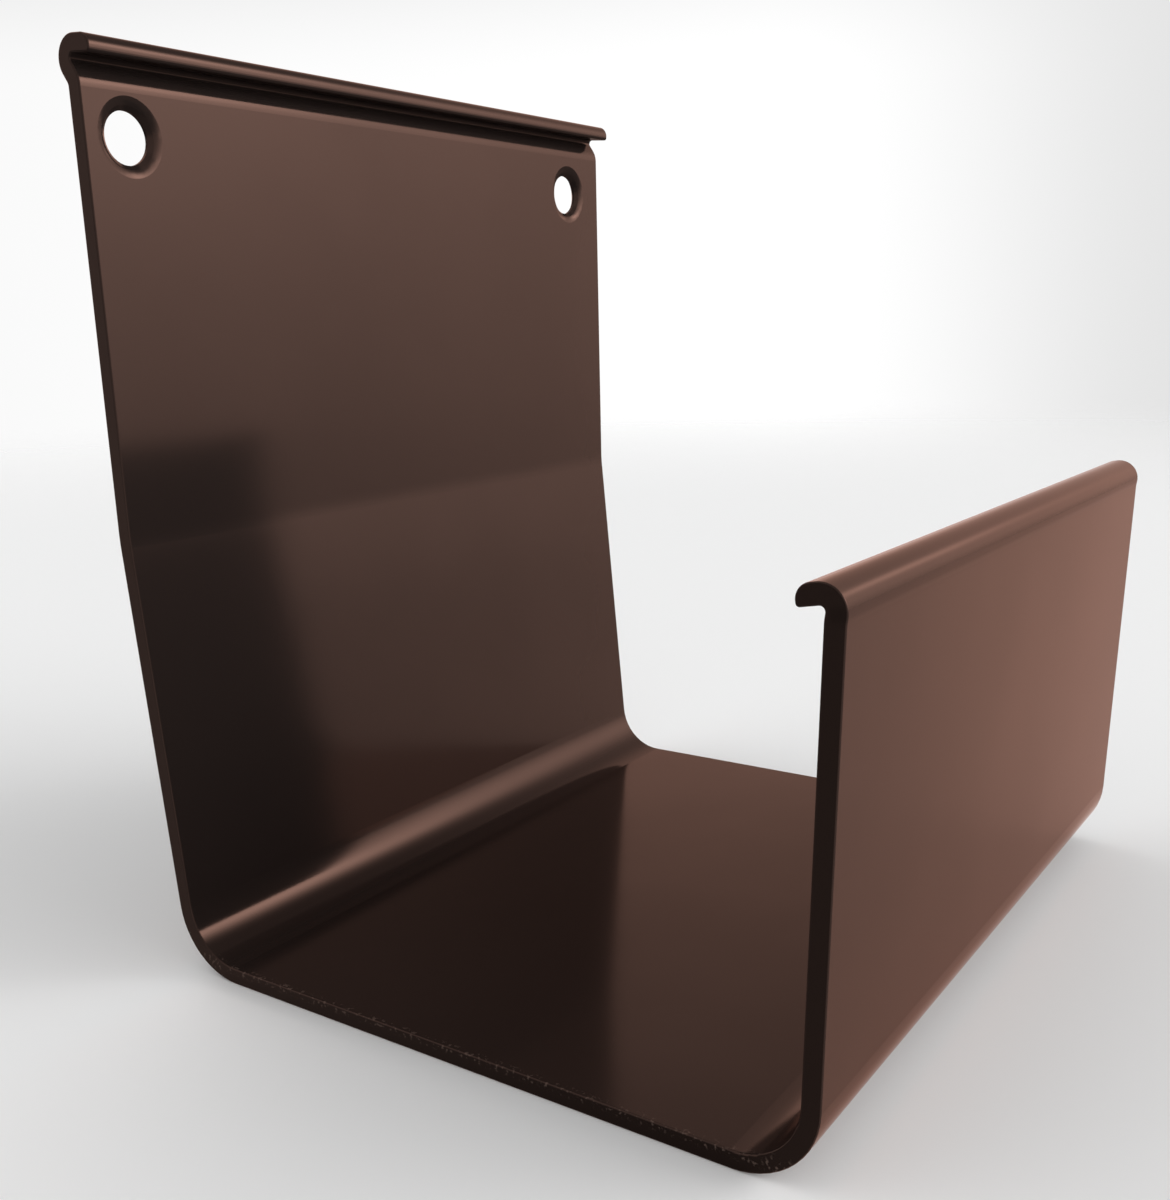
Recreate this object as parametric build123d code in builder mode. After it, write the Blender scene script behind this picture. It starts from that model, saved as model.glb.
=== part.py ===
"""Gutter connector: one sheet strap, folded to a box gutter's section, that joins two gutter ends.

Millimetres, +Z up. The strap lies along Y, which is the gutter's run. +X points to the low
front leg and -X to the tall back leg, which is screwed to the fascia board. The origin is
under the middle of the sole.
"""

import os
from math import atan, cos, degrees, isclose, radians, sin, tan

from build123d import *

# Strap
strap_length = 100.0  # along the gutter's run
sheet = 2.0  # thickness
end_edge_radius = 0.2  # rounding of the cut edges at both ends

# Section, measured on the outside of the sheet
sole_width = 84.8  # between the sharp corners of the two bottom bends
bend_inside_radius = 7.0
front_height = 56.5  # to the top of the front lip
front_lean = 1.4  # degrees that the front leg leans outwards
back_height = 108.1  # to the top of the back lip
back_lean = 4.95  # degrees that the lower back leg leans outwards
kink_height = 53.6  # from here up the back leg is upright
kink_inside_radius = 20.0

# Lips: both long edges of the sheet are rolled over towards the trough and end in a round nose
lip_inside_radius = 0.5
lip_end_flat = 0.15  # flat left on the cut end, between the nose and the under edge
lip_under_radius = 0.35
front_lip_flat = 0.5  # flat on top, between the roll and the nose
front_droop = 10.0  # degrees that the lip falls towards its nose
back_lip_flat = 1.3
back_droop = 5.0

# Necks: each roll stands proud of its leg's outside, and the sheet leans out to it
front_setback = 0.08
front_neck_lean = 7.0  # degrees
front_neck_radius = 2.0  # outside of the bend where the neck starts
back_setback = 1.2
back_neck_lean = 35.0
back_neck_radius = 1.0

# Screw holes near the top of the back leg, eased from both faces, and not quite level
hole_diameter = 5.8
hole_land = 0.4  # straight wall left in the middle of the sheet
rim_diameter = 7.6
rim_edge_radius = 1.4
near_hole_inset = 6.0  # from the strap's end at -Y
near_hole_drop = 10.0  # below the top of the back lip
far_hole_inset = 8.5  # from the strap's end at +Y
far_hole_drop = 11.0

# Bends on the outside of the sheet
bend_radius = bend_inside_radius + sheet
kink_radius = kink_inside_radius + sheet
roll_radius = lip_inside_radius + sheet
nose_radius = sheet - lip_under_radius - lip_end_flat


def lip_roll(foot_x, lean, height, setback, neck_lean):
    """Give the middle of a lip's roll and the neck's foot and top, with X counted outwards.

    The leg's outside starts at foot_x on the floor and leans out by lean degrees.
    """
    leg_angle = radians(lean)
    neck_angle = radians(lean + neck_lean)
    middle_z = height - roll_radius
    middle_x = foot_x + middle_z * tan(leg_angle) + (setback - roll_radius) / cos(leg_angle)
    top_x = middle_x + roll_radius * cos(neck_angle)
    top_z = middle_z - roll_radius * sin(neck_angle)
    neck_length = (top_x - foot_x - top_z * tan(leg_angle)) * cos(leg_angle) / sin(radians(neck_lean))
    neck_foot = (top_x - neck_length * sin(neck_angle), top_z - neck_length * cos(neck_angle))
    return (middle_x, middle_z), neck_foot, (top_x, top_z)


def to_back(point):
    """Turn an outward X into the frame's X on the back leg."""
    return -point[0], point[1]


# Corners of the outside line, as X and Z
half_sole = sole_width / 2
back_face = half_sole + kink_height * tan(radians(back_lean))
front_middle, front_foot, front_top = lip_roll(
    half_sole, front_lean, front_height, front_setback, front_neck_lean
)
back_middle, back_foot, back_top = map(
    to_back, lip_roll(back_face, 0, back_height, back_setback, back_neck_lean)
)

# Both screw holes, along Y and up, and the cone that eases their rims
hole_places = [
    (near_hole_inset - strap_length / 2, back_height - near_hole_drop),
    (strap_length / 2 - far_hole_inset, back_height - far_hole_drop),
]
rim_angle = 2 * degrees(atan((rim_diameter - hole_diameter) / (sheet - hole_land)))

with BuildPart() as gutter_connector:
    # The outside line runs from the front lip's nose, under the sole, to the back lip's nose
    with BuildSketch(Plane.XZ):
        with BuildLine():
            front_start = -front_lean - front_neck_lean
            front_turn = 90 + front_droop - front_start
            front_roll = CenterArc(front_middle, roll_radius, front_start, front_turn)
            front_lip = PolarLine(front_roll @ 1, front_lip_flat + nose_radius, direction=front_roll % 1)
            FilletPolyline(
                front_top,
                front_foot,
                (half_sole, 0),
                (-half_sole, 0),
                (-back_face, kink_height),
                back_foot,
                back_top,
                radius=[front_neck_radius, bend_radius, bend_radius, kink_radius, back_neck_radius],
            )
            back_start = 180 + back_neck_lean
            back_turn = 90 - back_droop - back_start
            back_roll = CenterArc(back_middle, roll_radius, back_start, back_turn)
            back_lip = PolarLine(back_roll @ 1, back_lip_flat + nose_radius, direction=back_roll % 1)
            offset(amount=sheet, side=Side.LEFT)
        make_face()
        for lip, turn_inwards in ((front_lip, 90), (back_lip, -90)):
            under_edge = lip @ 1 + (lip % 1).rotate(Axis.Z, turn_inwards) * sheet
            fillet(vertices().sort_by_distance(lip @ 1)[0], radius=nose_radius)
            fillet(vertices().sort_by_distance(under_edge)[0], radius=lip_under_radius)
    extrude(amount=strap_length / 2, both=True)

    # Both cut ends are rounded all along the section
    fillet(edges().group_by(Axis.Y)[0] + edges().group_by(Axis.Y)[-1], radius=end_edge_radius)

    # Each screw hole is sunk once from the trough side and once from the wall side
    for face_x, outward in ((sheet - back_face, 1), (-back_face, -1)):
        with Locations(Plane((face_x, 0, 0), x_dir=(0, outward, 0), z_dir=(outward, 0, 0))):
            with Locations(*((outward * y, z) for y, z in hole_places)):
                CounterSinkHole(hole_diameter / 2, rim_diameter / 2, sheet, rim_angle)
    circles = edges().filter_by(GeomType.CIRCLE)
    rims = circles.filter_by(lambda circle: isclose(circle.radius, rim_diameter / 2))
    fillet(rims, radius=rim_edge_radius)

gutter_connector.part.label = "gutter_connector"
os.makedirs("parts", exist_ok=True)
export_step(gutter_connector.part, "parts/gutter_connector.step")
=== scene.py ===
# %% [markdown]
# # A brown gutter connector
#
# The real connector is one strip of aluminium sheet, folded round the outside of a box gutter where
# two lengths meet. Its finish is a dark brown gloss coat, so nearly all that the eye sees is what
# the coat mirrors: the light, the floor and the connector's own other walls. This lesson therefore
# spends its care on the light and the coat.
#
# The folded shape comes ready from the CAD frame, and stays as it is. Everything is in metres.

# %% Load the folded strip
import math

import bpy
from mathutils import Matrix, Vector

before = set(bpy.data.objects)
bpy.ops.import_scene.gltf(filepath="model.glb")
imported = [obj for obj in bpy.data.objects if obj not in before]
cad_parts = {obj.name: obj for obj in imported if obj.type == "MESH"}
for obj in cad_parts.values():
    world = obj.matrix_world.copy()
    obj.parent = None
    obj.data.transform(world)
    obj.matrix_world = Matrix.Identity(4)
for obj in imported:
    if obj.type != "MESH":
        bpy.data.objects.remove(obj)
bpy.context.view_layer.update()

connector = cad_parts["gutter_connector"]
print("strip:", connector.name, "triangles:", len(connector.data.polygons))

# %% [markdown]
# ## The camera
#
# The strip stands on its sole and is seen from in front of the low leg, a little from above, and
# from quite close, so the near end looks much larger than the far one. The place, the turn and the
# lens could be tried by eye, but straight folds are a good ruler: their lines in the picture fix
# all of them. They ask for a lens that is shifted a little, as in a picture cut from a larger one.
# Less than half of that shift is used, because a shifted strip leaves the picture in other views.

# %% Set up the camera
SENSOR = 36.0  # millimetres along the picture's longer side
LENS = 39.773  # millimetres
EYE_PLACE = (0.08434, -0.14640, 0.07684)
EYE_TURNS = (75.240, 1.473, 34.692)  # degrees about X, Y and Z

eye_data = bpy.data.cameras.new("eye")
eye_data.sensor_width = SENSOR
eye_data.lens = LENS
eye_data.shift_x = 0.0143
eye_data.shift_y = 0.0607
eye_data.clip_start = 0.005
eye = bpy.data.objects.new("eye", eye_data)
bpy.context.collection.objects.link(eye)
eye.location = EYE_PLACE
eye.rotation_euler = [math.radians(turn) for turn in EYE_TURNS]
bpy.context.scene.camera = eye
print("camera stands", round(1000 * eye.location.length), "mm from the middle of the sole")

# %% [markdown]
# ## Sums that build nodes
#
# A finish in Blender is a web of small nodes, and its sums are easier to read as sums. The class
# below holds one output of a node. Adding, multiplying or raising it makes the Math node for that,
# and its method node makes any other kind: settings first, then what goes into the sockets.

# %% A wire that can be used in sums
class Wire:
    """One output of a node. Arithmetic on it adds Math nodes to the same web of nodes."""

    def __init__(self, socket):
        self.socket = socket

    @classmethod
    def node(cls, web, kind, settings=None, sockets=None, output=0):
        made = web.nodes.new(kind)
        for name, setting in (settings or {}).items():
            setattr(made, name, setting)
        for name, value in (sockets or {}).items():
            if isinstance(value, cls):
                web.links.new(value.socket, made.inputs[name])
            else:
                made.inputs[name].default_value = value
        return cls(made.outputs[output]) if made.outputs else made

    def sum_of(self, operation, first, second):
        web = self.socket.id_data
        return self.node(web, "ShaderNodeMath", {"operation": operation}, {0: first, 1: second})

    def __add__(self, other):
        return self.sum_of("ADD", self, other)

    def __radd__(self, other):
        return self.sum_of("ADD", other, self)

    def __sub__(self, other):
        return self.sum_of("SUBTRACT", self, other)

    def __rsub__(self, other):
        return self.sum_of("SUBTRACT", other, self)

    def __neg__(self):
        return self.sum_of("SUBTRACT", 0.0, self)

    def __mul__(self, other):
        return self.sum_of("MULTIPLY", self, other)

    def __rmul__(self, other):
        return self.sum_of("MULTIPLY", other, self)

    def __truediv__(self, other):
        return self.sum_of("DIVIDE", self, other)

    def __rtruediv__(self, other):
        return self.sum_of("DIVIDE", other, self)

    def __pow__(self, other):
        return self.sum_of("POWER", self, other)

    def __rpow__(self, other):
        return self.sum_of("POWER", other, self)

    def __abs__(self):
        return self.sum_of("ABSOLUTE", self, 0.0)

    def ease(self, start, end):
        """Goes smoothly from 0 at start to 1 at end."""
        return self.node(
            self.socket.id_data,
            "ShaderNodeMapRange",
            {"interpolation_type": "SMOOTHSTEP"},
            {"Value": self, "From Min": start, "From Max": end},
        )


print("sums ready:", Wire.__doc__)

# %% [markdown]
# ## The light
#
# The strip was lit by one wide soft light on its right, beyond the front leg. The light's bright
# heart leans to one side, and a small patch further round shines on the front roll. A lamp would do
# for the shadows, but a gloss coat mirrors a lamp's hard rim. So the light is painted into the
# surroundings, as glows that fade on all sides: e to the power of minus the squared distance from
# their middle.

# %% Make the tools that paint light
room = bpy.data.worlds.new("studio")
room.use_nodes = True
sky = room.node_tree
sky.nodes.clear()
bpy.context.scene.world = room
bpy.context.scene.view_settings.view_transform = "Standard"
looking = Wire.node(sky, "ShaderNodeTexCoord", output="Generated")


def pointing(turn, rise):
    """The direction that is turned this many degrees from +X towards +Y, and raised."""
    turn, rise = math.radians(turn), math.radians(rise)
    return Vector((math.cos(turn) * math.cos(rise), math.sin(turn) * math.cos(rise), math.sin(rise)))


def share_along(axis):
    """How far the direction of sight points along an axis, from -1 to 1."""
    return Wire.node(
        sky, "ShaderNodeVectorMath", {"operation": "DOT_PRODUCT"}, {0: looking, 1: axis}, output="Value"
    )


def soft_glow(middle, half_width, half_height, tilt=0):
    """A glow that fades like a bell. The half sizes are sines of angles, the tilt is in degrees."""
    level_side = Vector((0, 0, 1)).cross(middle).normalized()
    steep_side = middle.cross(level_side)
    lean = math.radians(tilt)
    wide = level_side * math.cos(lean) + steep_side * math.sin(lean)
    high = steep_side * math.cos(lean) - level_side * math.sin(lean)
    off_wide = share_along(wide) / half_width
    off_high = share_along(high) / half_height
    in_front = share_along(middle).ease(0.20, 0.75)
    return math.e ** (-(off_wide ** 2.0) - off_high ** 2.0) * in_front


print("the surroundings are looked up by the direction of sight:", looking.socket.name)

# %% [markdown]
# The room is pale, darker overhead and lighter behind the strip. A fill light and paler side walls
# keep the floor light. All the faces of the strip run along Y, so a mirrored ray keeps its share of
# Y. The share of the fill and of the side walls is too small for any long face to mirror them to the
# eye, so they leave the gloss as it is.

# %% Paint the surroundings
BRIGHTNESS = 1.35  # of the whole room

upwards = share_along((0, 0, 1))
gutterwards = share_along((0, 1, 0))
backwards = share_along((-1, 0, 0))
dark_band = upwards.ease(0.50, 0.78)
pale_walls = (0.39 + 0.18 * gutterwards) * (1 - 0.7 * dark_band)
wide_light = 3.8 * soft_glow(pointing(turn=31, rise=21), half_width=0.42, half_height=0.33)
bright_heart = 3.6 * soft_glow(pointing(turn=43, rise=30), half_width=0.20, half_height=0.12, tilt=45)
roll_patch = 1.1 * soft_glow(pointing(turn=73, rise=18), half_width=0.08, half_height=0.08)
side_walls = 0.28 * (1 - gutterwards.ease(0.25, 0.52))
backdrop = 0.22 * (backwards.ease(0.15, 0.45) * (1 - upwards.ease(0.15, 0.32)))
fill_light = 0.4 * share_along(pointing(turn=200, rise=52)).ease(0.75, 1.0)
light = BRIGHTNESS * (
    pale_walls
    + wide_light * (1 - dark_band)
    + bright_heart
    + roll_patch
    + side_walls
    + backdrop
    + fill_light
)
surround = Wire.node(sky, "ShaderNodeBackground", None, {"Color": light})
Wire.node(sky, "ShaderNodeOutputWorld", None, {"Surface": surround})
print("light painted with", len(sky.nodes), "nodes")

# %% [markdown]
# ## The floor
#
# The floor is a plain pale sheet. Its rim would draw a line behind the strip and across its gloss,
# so the sheet grows clear towards the rim and melts into the surroundings.

# %% Lay the floor
FLOOR_RADIUS = 1.20
FADE_START = 0.35
FADE_END = 0.95 * FLOOR_RADIUS
PALE = (0.9, 0.9, 0.9, 1)

bpy.ops.object.select_all(action="DESELECT")
bpy.ops.mesh.primitive_circle_add(vertices=96, radius=FLOOR_RADIUS, fill_type="NGON", location=(0, 0, 0))
floor = bpy.context.object
floor.name = "pale_floor"

paper = bpy.data.materials.new("pale_floor")
paper.use_nodes = True
web = paper.node_tree
web.nodes.clear()
spot = Wire.node(web, "ShaderNodeTexCoord", output="Object")
from_middle = Wire.node(web, "ShaderNodeVectorMath", {"operation": "LENGTH"}, {0: spot}, output="Value")
fading = from_middle.ease(FADE_START, FADE_END)
sheet = Wire.node(
    web,
    "ShaderNodeBsdfPrincipled",
    None,
    {"Base Color": PALE, "Roughness": 0.6, "Specular IOR Level": 0.2},
)
clear = Wire.node(web, "ShaderNodeBsdfTransparent")
melted = Wire.node(web, "ShaderNodeMixShader", None, {"Fac": fading, 1: sheet, 2: clear})
Wire.node(web, "ShaderNodeOutputMaterial", None, {"Surface": melted})
floor.data.materials.append(paper)
print("floor", 2 * FLOOR_RADIUS, "m across")

# %% [markdown]
# ## The brown coat
#
# The coat is baked on the sheet before it is folded: a dull, dark brown ground under a brown gloss.
# So it is mixed from these two. One shader with a clear coat could do it too, but its gloss would be
# white, and here even the brightest streak is brown.
#
# The coat has to know where it is on the strip: how far to the front, along the gutter and up, and
# whether it is on a long face or on a cut end, which looks along Y.

# %% Find the way on the strip
coat = bpy.data.materials.new("brown_coat_gloss")
coat.use_nodes = True
web = coat.node_tree
web.nodes.clear()


def blend(amount, one, other):
    """Goes from one colour to the other."""
    return Wire.node(
        web, "ShaderNodeMix", {"data_type": "RGBA"}, {"Factor": amount, 6: one, 7: other}, output=2
    )


def part_of(vector, axis):
    """One of the three numbers of a vector."""
    return Wire.node(web, "ShaderNodeSeparateXYZ", None, {"Vector": vector}, output=axis)


on_strip = Wire.node(web, "ShaderNodeTexCoord", output="Object")
facing = Wire.node(web, "ShaderNodeTexCoord", output="Normal")
frontwards, along, height = (part_of(on_strip, axis) for axis in "XYZ")
on_cut_end = abs(part_of(facing, "Y")).ease(0.80, 0.98)
print("finding the way on the strip with", len(web.nodes), "nodes")

# %% [markdown]
# No real coat is quite even. A slow cloudiness changes its colour and gloss by a few percent, and a
# very low bump is the ripple of the lacquer. Where the back lip's roll looks down, its gloss is cut as
# painted shade under the lip, and a faint line of painted shade runs along the foot of the front roll.
# The near end of the sole has been set down often, so small specks of its upper edge are scuffed. All
# of this could be painted by hand on a picture, but places and noise that are worked out stay sharp
# from close by.

# %% Find the uneven places
ROLL_FOOT = 0.0539  # height of the painted shade line on the front leg's outside


def grain(scale, detail):
    """Noise all over the strip. A larger scale is finer."""
    return Wire.node(web, "ShaderNodeTexNoise", None, {"Vector": on_strip, "Scale": scale, "Detail": detail})


cloud = grain(scale=45.0, detail=3.0)
ripple = grain(scale=320.0, detail=1.0)
specks = grain(scale=2200.0, detail=2.0)

looks_down = (-part_of(facing, "Z")).ease(0.02, 0.20)
# painted shade: where the back lip's roll looks down, most of its gloss is cut so the dark ground shows
roll_underside_shade = looks_down * height.ease(0.090, 0.100) * frontwards.ease(-0.0470, -0.0465)
off_foot = abs(height - ROLL_FOOT).ease(0.0002, 0.0011)
# painted shade: a thin dark line along the foot of the front roll, where the gloss is cut by a fifth
roll_foot_shade_line = (1 - off_foot) * frontwards.ease(0.0420, 0.0425)
near_end = (-along).ease(0.0490, 0.0497)
sole_edge = near_end * (1 - height.ease(0.0022, 0.0035)) * height.ease(0.0010, 0.0017)
scuffs = specks.ease(0.56, 0.66) * sole_edge
print("uneven places found with", len(web.nodes), "nodes")

# %% [markdown]
# The ground is the coat's own dark brown, with no gloss of its own. On the cut ends it is darker, and
# it grows darker still towards the front as painted shade; where the coat is scuffed it is paler.

# %% Set the dull ground
GROUND_BROWN = (0.0160, 0.0111, 0.0098, 1)
CUT_BACK = (0.0115, 0.0084, 0.0075, 1)
# the front cut end's colour holds painted shade
CUT_FRONT_SHADED = (0.0030, 0.0023, 0.0021, 1)
SCUFFED = (0.070, 0.049, 0.041, 1)

# painted shade: the cut ends' ground grows darker from the back towards the front
cut_ground_and_front_shade = blend(frontwards.ease(-0.046, 0.043), CUT_BACK, CUT_FRONT_SHADED)
whole_ground = blend(on_cut_end, GROUND_BROWN, cut_ground_and_front_shade)
ground = Wire.node(
    web,
    "ShaderNodeBsdfPrincipled",
    None,
    {"Base Color": blend(scuffs, whole_ground, SCUFFED), "Roughness": 0.6, "Specular IOR Level": 0.0},
)
print("ground set, with", len(web.nodes), "nodes so far")

# %% [markdown]
# The gloss is a brown mirror, a little duller on the cut ends. An image of an image, such as the back
# leg's in the sole, is dark on the real strip and no redder than the rest. So a ray that comes from
# a mirror meets a grey mirror and not a brown one, which would tint it twice.

# %% Set the brown mirror
MIRROR_BROWN = (0.82, 0.456, 0.354, 1)
MIRROR_DEEP = (0.77, 0.428, 0.332, 1)
MIRROR_CUT = (0.40, 0.24, 0.195, 1)
MIRROR_GREY = (0.80, 0.80, 0.80, 1)
LOW_ANGLE_TINT = (1.0, 0.77, 0.69, 1)

from_mirror = Wire.node(web, "ShaderNodeLightPath", output="Is Glossy Ray")
peel = Wire.node(web, "ShaderNodeBump", None, {"Strength": 0.2, "Distance": 0.00001, "Height": ripple})
cloudy_brown = blend(cloud.ease(0.3, 0.7), MIRROR_BROWN, MIRROR_DEEP)
brown = blend(on_cut_end, cloudy_brown, MIRROR_CUT)
mirror = Wire.node(
    web,
    "ShaderNodeBsdfPrincipled",
    None,
    {
        "Base Color": blend(from_mirror, brown, MIRROR_GREY),
        "Metallic": 1.0,
        "Roughness": 0.12 + 0.04 * cloud + 0.12 * on_cut_end,
        "Specular Tint": LOW_ANGLE_TINT,
        "Normal": peel,
    },
)
print("mirror set, with", len(web.nodes), "nodes so far")

# %% [markdown]
# Fresnel tells how much of the light a smooth lacquer mirrors, a few percent seen face on and nearly
# all at a low angle. That share goes to the mirror and the rest to the ground. Mirrored light is
# polarised, so a wall at right angles mirrors only about half of it: a ray that comes from a mirror
# meets half the gloss. The mirror is the first of the two shaders, because an exported model takes
# its gloss from the first shader of a mix.

# %% Mix both and coat the strip
LACQUER_IOR = 1.45

# besides the polarised half, the gloss is cut as painted shade on the back lip's roll and along the front
# roll's foot
gloss = (1 - 0.5 * from_mirror) * (1 - 0.85 * roll_underside_shade) * (1 - 0.22 * roll_foot_shade_line)
mirrored = gloss * Wire.node(web, "ShaderNodeFresnel", None, {"IOR": LACQUER_IOR, "Normal": peel})
lacquer = Wire.node(web, "ShaderNodeMixShader", None, {"Fac": 1 - mirrored, 1: mirror, 2: ground})
Wire.node(web, "ShaderNodeOutputMaterial", None, {"Surface": lacquer})
for slot in connector.material_slots:
    slot.material = coat
print("coat on", len(connector.material_slots), "slot with", len(web.nodes), "nodes")

# %% [markdown]
# ## The size
#
# The finish must not change the strip's size.
